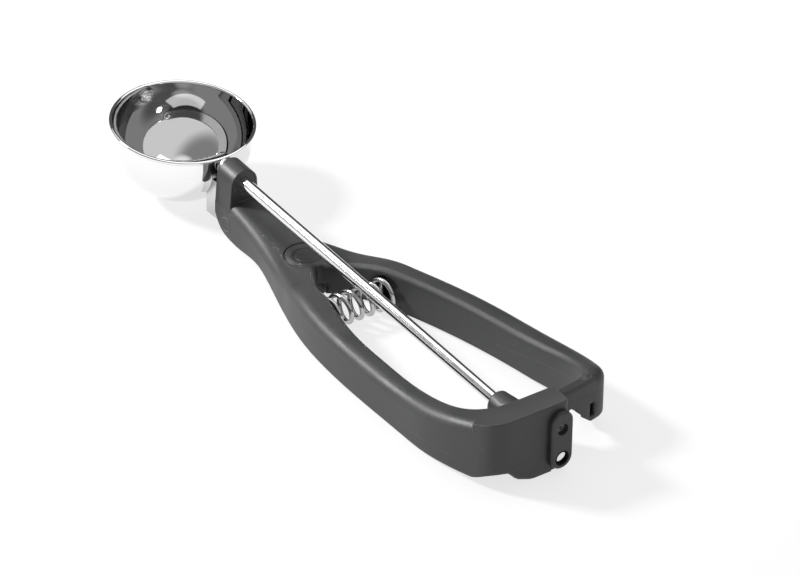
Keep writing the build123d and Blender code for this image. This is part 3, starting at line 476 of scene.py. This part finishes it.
plasticSettings = {         # a share is how much of a colour shows at most
    "tone": 0.039,          # dark grey, slightly cool
    "toneSpread": 0.010,
    "darkTint": (0.98, 1.0, 1.03),
    "paleTint": (0.99, 1.0, 1.01),
    "shine": 0.45,
    "refraction": 1.53,
    "roughness": 0.48,
    "roughnessSpread": 0.08,
    "grainSize": 0.30,      # mm
    "grainDepth": 0.010,    # mm
    "rubbedTone": 0.075,    # on rubbed edges and marks
    "rubbedWidth": 0.5,     # mm
    "rubbedShare": 0.55,
    "rubbedSmoother": 0.10,
    "markSpacing": 9.0,     # mm
    "markTurn": 0.4,        # radians
    "markShare": 0.35,
    "dustSpacing": 3.4,     # mm
    "dustTone": 0.22,
    "dustShare": 0.5,
    "seamFrom": 148.0,      # mm behind the bowl's middle, where the mould's line begins to show
    "seamSpan": (-6.0, 4.0),        # mm from there, between which it comes in
    "seamWidth": 0.16,      # mm, to either side
    "seamUpright": (0.55, 0.30),    # it shows only on faces that stand this upright
    "seamHeight": 8.0,      # times the grain's depth
    # the parting line is also painted lighter, a painted highlight along its ridge
    "seamHighlightShare": 0.6,
}


def makePlastic(name, s, lighter=1.0, smoother=0.0, soft=0.5, seam=None):
    # soft is how far the edges are rounded in mm, seam the height of the parting line
    # in mm where it begins and its climb towards the rear
    mat, tree, shader = newMaterial(name, {"Specular IOR Level": s["shine"], "IOR": s["refraction"]})
    grain = useGroup(tree, "grain", {"Size": s["grainSize"]})
    wear = useGroup(tree, "rub", {"Width": s["rubbedWidth"]})
    rounded = useGroup(tree, "rub", {"Width": soft})
    marks = useGroup(tree, "marks", {"Spacing": s["markSpacing"], "Turn": s["markTurn"]})
    dust = useGroup(tree, "dust", {"Spacing": s["dustSpacing"]})
    dark = tuple((s["tone"] - s["toneSpread"] / 2) * lighter * tint for tint in s["darkTint"])
    pale = tuple((s["tone"] + s["toneSpread"] / 2) * lighter * tint for tint in s["paleTint"])
    rubbed = grey(s["rubbedTone"])
    color = addMix(tree, grain.outputs["Mottle"], dark, pale)
    color = layOver(tree, color, wear.outputs["Mask"], s["rubbedShare"], rubbed)
    color = layOver(tree, color, marks.outputs["Mask"], s["markShare"], rubbed)
    color = layOver(tree, color, dust.outputs["Mask"], s["dustShare"], grey(s["dustTone"]))
    middle = s["roughness"] - smoother
    rough = addRange(tree, grain.outputs["Mottle"], 0.0, 1.0,
                     middle - s["roughnessSpread"] / 2, middle + s["roughnessSpread"] / 2)
    smoothed = addMath(tree, "MULTIPLY", wear.outputs["Mask"], s["rubbedSmoother"])
    rough = addMath(tree, "SUBTRACT", rough, smoothed)
    height = grain.outputs["Height"]
    if seam:
        seamStart, seamClimb = seam
        parts = addNode(tree, "SeparateXYZ", links={0: onPiece(tree)})
        back = addMath(tree, "SUBTRACT", parts.outputs["X"], place(s["seamFrom"], 0, 0).x)
        line = addMath(tree, "MULTIPLY_ADD", back, seamClimb, seamStart * mm)
        off = addMath(tree, "ABSOLUTE", addMath(tree, "SUBTRACT", parts.outputs["Z"], line))
        ridge = addRange(tree, off, s["seamWidth"] * mm, 0.0)
        ridge = addMath(tree, "MULTIPLY", ridge, addRange(tree, back, *(end * mm for end in s["seamSpan"])))
        upright = addRange(tree, addMath(tree, "ABSOLUTE", facingUp(tree)), *s["seamUpright"])
        ridge = addMath(tree, "MULTIPLY", ridge, upright)
        height = addMath(tree, "MULTIPLY_ADD", ridge, s["seamHeight"], height)
        # painted highlight: besides its raised ridge, the parting line is coloured lighter
        color = layOver(tree, color, ridge, s["seamHighlightShare"], rubbed)
    bump = addNode(tree, "Bump", {"Strength": 1.0, "Distance": s["grainDepth"] * mm},
                   {"Height": height, "Normal": rounded.outputs["Normal"]})
    feed(tree, shader, {"Base Color": color, "Roughness": rough, "Normal": bump.outputs[0]})
    return mat


polishedSettings = {
    "tone": 0.86,
    "tint": (1.0, 1.0, 1.01),
    "smudgeTone": 0.70,
    "smudgeShare": 0.35,
    "smudgeRoughness": 0.05,
    "smudgeSize": 17.0,     # mm
    "markSpacing": 12.0,    # mm
    "markTurn": 1.1,        # radians
    "markShare": 0.3,
    "markRougher": 1 / 3,   # roughness that a mark adds, times its share
    "lineSpacing": 0.10,    # mm
    "lineLength": 9.0,      # mm
    "lineDepth": 0.0012,    # mm
    "lineStrength": 0.1,
}


def makePolished(name, s, tone, roughness, tilt=0.0, reflectedShade=1.0):
    # bright steel: faint smudges, hair marks and a trace of polishing lines, and painted shade: a darker
    # colour where the steel is seen in a reflection
    mat, tree, shader = newMaterial(name, {"Metallic": 1.0})
    smudges = useGroup(tree, "smudges", {"Size": s["smudgeSize"]})
    marks = useGroup(tree, "marks", {"Spacing": s["markSpacing"], "Turn": s["markTurn"]})
    lines = useGroup(tree, "lines", {"Fine": s["lineSpacing"], "Along": s["lineLength"], "Tilt": tilt})
    bright = tuple(tone * s["tone"] * tint for tint in s["tint"])
    dull = grey(tone * s["smudgeTone"])
    color = layOver(tree, bright, smudges.outputs["Mask"], s["smudgeShare"], dull)
    color = layOver(tree, color, marks.outputs["Mask"], s["markShare"], dull)
    if reflectedShade < 1.0:     # painted shade: steel seen in a reflection takes a darker colour
        rays = addNode(tree, "LightPath")
        deeper = addMath(tree, "MINIMUM", rays.outputs["Glossy Depth"], 1.0)
        color = addMix(tree, deeper, color, grey(reflectedShade * s["tone"]))
    rough = addMath(tree, "MULTIPLY_ADD", smudges.outputs["Haze"], s["smudgeRoughness"], roughness)
    scratched = addMath(tree, "MULTIPLY", marks.outputs["Mask"], s["markShare"] * s["markRougher"])
    rough = addMath(tree, "ADD", rough, scratched)
    bump = addNode(tree, "Bump", {"Strength": s["lineStrength"], "Distance": s["lineDepth"] * mm},
                   {"Height": lines.outputs["Height"]})
    feed(tree, shader, {"Base Color": color, "Roughness": rough, "Normal": bump.outputs[0]})
    return mat


workedSettings = {
    "lineSpacing": 0.10,    # mm
    "lineLength": 5.0,      # mm
    "lineDepth": 0.004,     # mm
    "lineStrength": 0.6,
    "lineRoughness": 0.08,
    "darkTint": (0.86, 0.86, 0.86),
    "paleTint": (1.04, 1.04, 1.05),
    "smudgeSize": 6.0,      # mm
    "smudgeTone": 0.6,
    "smudgeShare": 0.25,
    "rubbedWidth": 0.2,     # mm
    "rubbedColor": (0.85, 0.85, 0.86),
    "rubbedShare": 0.5,
}


def makeWorked(name, s, tone, roughness, turn=0.0):
    # drawn, turned or stamped steel with its lines, darker in the grain and bright on the edges
    mat, tree, shader = newMaterial(name, {"Metallic": 1.0})
    lines = useGroup(tree, "lines", {"Fine": s["lineSpacing"], "Along": s["lineLength"], "Turn": turn})
    wear = useGroup(tree, "rub", {"Width": s["rubbedWidth"]})
    smudges = useGroup(tree, "smudges", {"Size": s["smudgeSize"]})
    dark = tuple(tone * tint for tint in s["darkTint"])
    pale = tuple(tone * tint for tint in s["paleTint"])
    color = addMix(tree, lines.outputs["Tone"], dark, pale)
    color = layOver(tree, color, smudges.outputs["Haze"], s["smudgeShare"], grey(tone * s["smudgeTone"]))
    color = layOver(tree, color, wear.outputs["Mask"], s["rubbedShare"], s["rubbedColor"])
    rough = addMath(tree, "MULTIPLY_ADD", lines.outputs["Tone"], s["lineRoughness"], roughness)
    bump = addNode(tree, "Bump", {"Strength": s["lineStrength"], "Distance": s["lineDepth"] * mm},
                   {"Height": lines.outputs["Height"], "Normal": wear.outputs["Normal"]})
    feed(tree, shader, {"Base Color": color, "Roughness": rough, "Normal": bump.outputs[0]})
    return mat


# what some finishes have of their own
bushSettings = dict(plasticSettings, tone=0.004, toneSpread=0.002, rubbedTone=0.01, shine=0.05)
rodSettings = dict(polishedSettings, markShare=0.04, lineDepth=0.0004, lineStrength=0.4)
bladeSettings = dict(workedSettings, lineSpacing=0.14)
wireSettings = dict(workedSettings, lineSpacing=0.16, lineDepth=0.003, rubbedShare=0.2)

finishes = {mat.name: mat for mat in (
    makePlastic("handlePolyamide", plasticSettings, soft=0.6, seam=(3.6, 0.068)),
    makePlastic("leverPolyamide", plasticSettings, soft=2.6, seam=(6.4, 0.15)),
    makePlastic("platePolyamide", plasticSettings, lighter=0.9, smoother=0.04),
    makePlastic("capPolyamide", plasticSettings, lighter=0.9, smoother=0.08),
    makePlastic("pinPolyamide", plasticSettings, lighter=1.05, smoother=0.05),
    # painted highlight: the ring on the neck is coloured several times lighter than the handle, for the light
    # along its edge
    makePlastic("ringHighlightPolyamide", plasticSettings, lighter=4.5, soft=0.02),
    makePlastic("bushPlastic", bushSettings),
    # painted shade: the bowl seen in its own reflection is drawn darker
    makePolished("bowlMirror", polishedSettings, tone=1.04, roughness=0.02, reflectedShade=0.38),
    makePolished("rodBright", rodSettings, tone=0.98, roughness=0.10, tilt=-shaftTilt),
    makeWorked("bladeSteel", bladeSettings, tone=0.72, roughness=0.14),
    makeWorked("bracketSteel", workedSettings, tone=0.74, roughness=0.16, turn=pi / 2),
    makeWorked("rivetSteel", workedSettings, tone=0.70, roughness=0.18),
    makeWorked("pivotSteel", workedSettings, tone=0.62, roughness=0.24),
    makeWorked("wireSteel", wireSettings, tone=0.56, roughness=0.17, turn=pi / 2),
    # painted shade: the screw is coloured dark so that the hole it sits in reads as a deep shadow
    makeWorked("shadedScrewSteel", workedSettings, tone=0.22, roughness=0.34),
    makeWorked("gearSteel", workedSettings, tone=0.60, roughness=0.28),
)}
finishOf = {                # each CAD piece's finish, and that of the ring on the neck
    "fixed_handle": "handlePolyamide",
    "squeeze_lever": "leverPolyamide",
    "end_plate": "platePolyamide",
    "front_bush": "platePolyamide",
    "nose_bush": "platePolyamide",
    "end_bush": "bushPlastic",
    "pivot_cap": "capPolyamide",
    "bracket_pin": "pinPolyamide",
    "pinEdge": "ringHighlightPolyamide",
    "bowl": "bowlMirror",
    "wiper_shaft": "rodBright",
    "wiper_blade": "bladeSteel",
    "bowl_bracket": "bracketSteel",
    "blade_rivet": "rivetSteel",
    "shaft_collar": "pivotSteel",
    "pivot_washer": "pivotSteel",
    "pivot_pin": "pivotSteel",
    "pivot_ring": "wireSteel",
    "pinion_ring": "wireSteel",
    "return_spring": "wireSteel",
    "end_plate_screw": "shadedScrewSteel",
    "pinion": "gearSteel",
}


def finish(obj, node, look=None):
    # the finish and the slot of the CAD piece that obj is, stands for or sits on
    obj.data.materials.clear()
    obj.data.materials.append(finishes[finishOf[look or node]])


for name, obj in frame["nodes"].items():
    finish(obj, name)
print("finishes made:", len(finishes))


def editMode():
    bpy.ops.object.mode_set(mode="EDIT")


def objectMode():
    bpy.ops.object.mode_set(mode="OBJECT")


def pick(obj, kind, test):
    # in edit mode: only the faces or edges whose middle passes the test are left selected
    bpy.ops.mesh.select_mode(type=kind)
    bpy.ops.mesh.select_all(action="DESELECT")
    objectMode()
    points = obj.data.vertices
    if kind == "FACE":
        for face in obj.data.polygons:
            face.select = test(face.center)
    else:
        for edge in obj.data.edges:
            edge.select = test((points[edge.vertices[0]].co + points[edge.vertices[1]].co) / 2)
    editMode()


def mergePoints():
    # in edit mode: points in the same spot become one
    bpy.ops.mesh.select_all(action="SELECT")
    bpy.ops.mesh.remove_doubles(threshold=tiny)


def turnOutwards():
    bpy.ops.mesh.normals_make_consistent(inside=False)


def applyAll(obj, angle):
    # modifiers in, place into the mesh, normals outwards, smooth where it turns by less than the angle
    for modifier in list(obj.modifiers):
        bpy.ops.object.modifier_apply(modifier=modifier.name)
    bpy.ops.object.transform_apply(location=True, rotation=True, scale=True)
    editMode()
    mergePoints()
    turnOutwards()
    objectMode()
    bpy.ops.object.shade_smooth_by_angle(angle=radians(angle))


bowlSizes = {
    "radius": 25.2,         # mm, outside
    "wall": 0.9,
    "rimAbove": 3.3,        # the rim stands this far above the shaft's line
    "beadOut": 0.45,        # the rolled rim stands out this much
    "beadIn": 0.02,         # and in
    "segments": 192,
    "beadSegments": 28,
    "smoothUnder": 40,      # degrees
}


def makeBowl(s):
    beadRadius = (s["wall"] + s["beadOut"]) / 2 + s["beadIn"]
    beadMiddle = s["radius"] + s["beadOut"] - beadRadius
    beadHeight = s["rimAbove"] - beadRadius
    deselectAll()
    bpy.ops.mesh.primitive_uv_sphere_add(
        segments=s["segments"], ring_count=s["segments"] // 2, radius=s["radius"] * mm)
    bowl = bpy.context.object
    bowl.name = "bowlShell"
    editMode()
    bpy.ops.mesh.select_all(action="SELECT")
    bpy.ops.mesh.bisect(plane_co=(0, 0, 0), plane_no=(0, 0, 1), clear_outer=True, threshold=tiny / 10)
    pick(bowl, "EDGE", lambda spot: spot.z > -tiny)
    bpy.ops.mesh.extrude_region_move(TRANSFORM_OT_translate={"value": (0, 0, beadHeight * mm)})
    mergePoints()
    turnOutwards()
    objectMode()
    wall = bowl.modifiers.new("wall", "SOLIDIFY")
    wall.thickness = s["wall"] * mm
    wall.offset = -1        # inwards
    wall.use_even_offset = True
    bpy.ops.object.modifier_apply(modifier="wall")
    deselectAll()
    bpy.ops.mesh.primitive_torus_add(
        location=(0, 0, beadHeight * mm), major_radius=beadMiddle * mm, minor_radius=beadRadius * mm,
        major_segments=s["segments"], minor_segments=s["beadSegments"])
    bowl.select_set(True)
    bpy.context.view_layer.objects.active = bowl
    bpy.ops.object.join()
    bowl.location = shaftStart
    bowl.rotation_euler = (0, shaftTilt, 0)
    applyAll(bowl, s["smoothUnder"])
    finish(bowl, "bowl")
    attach(bowl, "handle")
    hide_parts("bowl")


rodSizes = {
    "radius": 2.1,          # mm
    "front": 23.858,        # along the shaft from the bowl's middle
    "rear": 216.03,
    "rearRounding": 0.3,
    "rearSteps": 4,
    "neckRadius": 1.5,      # through the blade
    "headFoot": 22.925,
    "headRadius": 2.4,
    "headLength": 0.8,
    "headTaper": 0.72,      # its front's share of the radius
    "headRounding": 0.16,
    "headSteps": 3,
    "headEdge": 0.3,        # its edges are rounded from this far in front of its foot
    "slack": 0.1,           # a pick reaches this far past what it takes
    "segments": 96,
    "smoothUnder": 35,      # degrees
}


def makeRod(s):
    deselectAll()
    bpy.ops.mesh.primitive_cylinder_add(
        vertices=s["segments"], radius=s["radius"] * mm, depth=(s["rear"] - s["front"]) * mm,
        location=(0, 0, (s["rear"] + s["front"]) / 2 * mm))
    rod = bpy.context.object
    rod.name = "bladeRod"
    bpy.ops.object.transform_apply(location=True)
    editMode()
    frontZ = (s["front"] + s["slack"]) * mm
    rearZ = (s["rear"] - s["slack"]) * mm
    headZ = (s["headFoot"] - s["headEdge"]) * mm
    pick(rod, "FACE", lambda spot: spot.z < frontZ and spot.xy.length < s["slack"] * mm)
    steps = (               # mm forward, and scale
        (0.0, s["neckRadius"] / s["radius"]),
        (s["headFoot"] - s["front"], 1.0),
        (0.0, s["headRadius"] / s["neckRadius"]),
        (-s["headLength"] / 2, 1.0),
        (-s["headLength"] / 2, s["headTaper"]),
    )
    for forward, scale in steps:
        bpy.ops.mesh.extrude_region_move(TRANSFORM_OT_translate={"value": (0, 0, forward * mm)})
        if scale != 1.0:
            bpy.ops.transform.resize(value=(scale, scale, 1))
    pick(rod, "EDGE", lambda spot: spot.z > rearZ)
    bpy.ops.mesh.bevel(offset=s["rearRounding"] * mm, segments=s["rearSteps"])
    pick(rod, "EDGE", lambda spot: spot.z < headZ)
    bpy.ops.mesh.bevel(offset=s["headRounding"] * mm, segments=s["headSteps"])
    objectMode()
    rod.location = shaftStart
    rod.rotation_euler = (0, pi / 2 + shaftTilt, 0)
    applyAll(rod, s["smoothUnder"])
    finish(rod, "wiper_shaft")
    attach(rod, "wiper")
    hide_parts("wiper_shaft")


springSizes = {
    "middleRadius": 5.05,   # mm, of the wire's middle line
    "wireRadius": 0.88,
    "turns": 6.6,
    "x": 102.4,
    "z": 6.7,
    "fixedEnd": -15.0,      # bottoms of the two pockets
    "movingEnd": 15.6,
    "squeezed": 0.885,      # share of its length when the lever is at its limit
    "wireSegments": 24,
    "turnSegments": 48,
    "smoothUnder": 60,      # degrees
}


def makeSpring(s):
    length = s["movingEnd"] - s["fixedEnd"] - 2 * s["wireRadius"]
    deselectAll()
    bpy.ops.mesh.primitive_circle_add(
        vertices=s["wireSegments"], radius=s["wireRadius"] * mm, fill_type="NOTHING",
        location=(s["middleRadius"] * mm, 0, 0), rotation=(pi / 2, 0, 0))
    spring = bpy.context.object
    spring.name = "springWire"
    bpy.ops.object.transform_apply(location=True, rotation=True)
    coil = spring.modifiers.new("coil", "SCREW")
    coil.axis = "Z"
    coil.angle = 2 * pi * s["turns"]
    coil.screw_offset = length * mm
    coil.steps = round(s["turns"] * s["turnSegments"])
    coil.render_steps = coil.steps
    coil.use_normal_calculate = True
    bpy.ops.object.modifier_apply(modifier="coil")
    editMode()
    bpy.ops.mesh.select_all(action="SELECT")
    bpy.ops.mesh.fill_holes(sides=0)
    objectMode()
    spring.location = place(s["x"], s["fixedEnd"] + s["wireRadius"], s["z"])
    spring.rotation_euler = (-pi / 2, 0, 0)
    applyAll(spring, s["smoothUnder"])
    finish(spring, "return_spring")
    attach(spring, "handle")
    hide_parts("return_spring")
    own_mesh(spring)


handleSizes = {             # mm, a pair holds where a change is nothing and where it is full
    "rearCutsX": (166.0, 174.0, 182.0, 188.0, 193.0, 197.0, 200.0, 203.0, 206.0, 209.0, 211.5),
    "rearCutsY": (-27.5, -26.0, -24.5, -23.0, -21.5, -20.0, -18.5, -17.0, -15.5,
                  -14.0, -12.5, -11.0, -9.5, -8.0, -6.5, -5.0, -3.0, 0.0),
    "rearCutsZ": (16.0, 12.5, 9.0, 6.0, 3.0),
    "rearBefore": 4.0,      # the cuts reach this far before the first of them
    "rearZ": (15.5, 3.0),   # the underside of the rear is reshaped below these
    "corner": (210.0, -20.5),       # its x and y
    "cornerLift": 4.6,      # the near rear corner is drawn up from the table by this
    "cornerReach": 10.5,
    "cornerY": (-15.0, -20.5),
    "middleDrop": 2.2,      # and the middle of the rear reaches down again
    "middleX": (196.0, 206.0),
    "middleY": (-17.5, -9.0),
    "middleZ": (4.5, 3.2),
    "neckCutsX": (28.0, 30.0, 32.0, 34.0, 36.0, 38.0, 40.0, 43.0, 46.0, 49.0, 52.0, 56.0, 60.0, 64.0),
    "neckCutsZ": (9.0, 7.0, 5.0, 3.0),
    "neckBehind": 2.0,      # the cuts reach this far behind the last of them
    "neckAbove": 20.0,      # and this far above the highest
    "neckDrop": 2.8,        # the neck's underside comes down by this
    "neckX": (64.0, 40.0),
    "neckZ": (9.0, 4.0),
    "neckLeast": 0.05,      # share of its height that a point keeps at least
    "smoothUnder": 32,      # degrees
}


def fade(value, start, end):
    # 0 at start, 1 at end, smooth between
    part = min(1.0, max(0.0, (value - start) / (end - start)))
    return part * part * (3 - 2 * part)


def copyOf(node, name):
    # an own, merged mesh of a CAD piece
    deselectAll()
    obj = bpy.data.objects.new(name, frame["nodes"][node].data.copy())
    bpy.context.scene.collection.objects.link(obj)
    obj.select_set(True)
    bpy.context.view_layer.objects.active = obj
    bpy.ops.mesh.customdata_custom_splitnormals_clear()
    editMode()
    mergePoints()
    objectMode()
    return obj


def settle(obj, angle):
    # crisp edges stay, and the large faces set the shading next to small roundings
    bpy.ops.object.shade_smooth_by_angle(angle=radians(angle))
    weights = obj.modifiers.new("faceWeights", "WEIGHTED_NORMAL")
    weights.mode = "FACE_AREA"
    weights.keep_sharp = True
    bpy.ops.object.modifier_apply(modifier="faceWeights")


def cutFaces(obj, test, xs=(), ys=(), zs=()):
    # in edit mode: flat cuts through the faces that pass the test, square to each axis
    cuts = [(place(0, 0, z), (0, 0, 1)) for z in zs]
    cuts += [(place(x, 0, 0), (1, 0, 0)) for x in xs]
    cuts += [(place(0, y, 0), (0, 1, 0)) for y in ys]
    for spot, way in cuts:
        pick(obj, "FACE", test)
        bpy.ops.mesh.bisect(plane_co=spot, plane_no=way, threshold=tiny)


def makeHandle(s):
    handle = copyOf("fixed_handle", "handleMoulding")
    rearTop = s["rearCutsZ"][0] * mm
    rearStart = place(s["rearCutsX"][0] - s["rearBefore"], 0, 0).x
    neckTop = (s["neckCutsZ"][0] + s["neckAbove"]) * mm
    neckEnd = place(s["neckCutsX"][-1] + s["neckBehind"], 0, 0).x
    editMode()
    cutFaces(handle, lambda spot: True, zs=s["rearCutsZ"][:1])      # the first goes right across
    cutFaces(handle, lambda spot: spot.z < rearTop and spot.x > rearStart,
             s["rearCutsX"], s["rearCutsY"], s["rearCutsZ"][1:])
    cutFaces(handle, lambda spot: spot.z < neckTop and spot.x < neckEnd, s["neckCutsX"], zs=s["neckCutsZ"])
    objectMode()
    for point in handle.data.vertices:
        x = (point.co.x - shaftStart.x) / mm
        y = (point.co.y - shaftStart.y) / mm
        z = point.co.z / mm
        if x < s["neckX"][0] and z < s["neckZ"][0]:
            drop = s["neckDrop"] * fade(x, *s["neckX"]) * fade(z, *s["neckZ"])
            point.co.z = max(s["neckLeast"] * z, z - drop) * mm
        if x < s["rearCutsX"][0] or z > s["rearZ"][0]:
            continue
        away = sqrt((x - s["corner"][0]) ** 2 + (y - s["corner"][1]) ** 2)
        change = s["cornerLift"] * fade(away, s["cornerReach"], 0.0) * fade(y, *s["cornerY"])
        change -= s["middleDrop"] * fade(y, *s["middleY"]) * fade(x, *s["middleX"]) * fade(z, *s["middleZ"])
        point.co.z = max(0.0, z + change * fade(z, *s["rearZ"])) * mm
    editMode()
    bpy.ops.mesh.select_all(action="SELECT")
    bpy.ops.mesh.dissolve_degenerate(threshold=tiny)
    objectMode()
    settle(handle, s["smoothUnder"])
    finish(handle, "fixed_handle")
    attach(handle, "handle")
    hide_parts("fixed_handle")


pinEdgeSizes = {
    "radius": 2.6,          # mm, of the raised ring on the neck's side
    "wire": 0.12,
    "middle": (35.4, -6.42, 6.3),
    "turn": -3.4,           # degrees, along the neck's side
    "segments": 72,
    "wireSegments": 12,
    "smoothUnder": 60,      # degrees
}


def makePinEdge(s):
    deselectAll()
    bpy.ops.mesh.primitive_torus_add(
        location=place(*s["middle"]), rotation=(pi / 2, 0, radians(s["turn"])),
        major_radius=s["radius"] * mm, minor_radius=s["wire"] * mm,
        major_segments=s["segments"], minor_segments=s["wireSegments"])
    edge = bpy.context.object
    edge.name = "pinEdge"
    applyAll(edge, s["smoothUnder"])
    # its finish is the lighter plastic, a painted highlight along the ring
    finish(edge, "fixed_handle", "pinEdge")
    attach(edge, "handle")


makeHandle(handleSizes)
makePinEdge(pinEdgeSizes)
print("handle and the ring on its neck made")
makeBowl(bowlSizes)
makeRod(rodSizes)
makeSpring(springSizes)
print("bowl, rod and spring made")
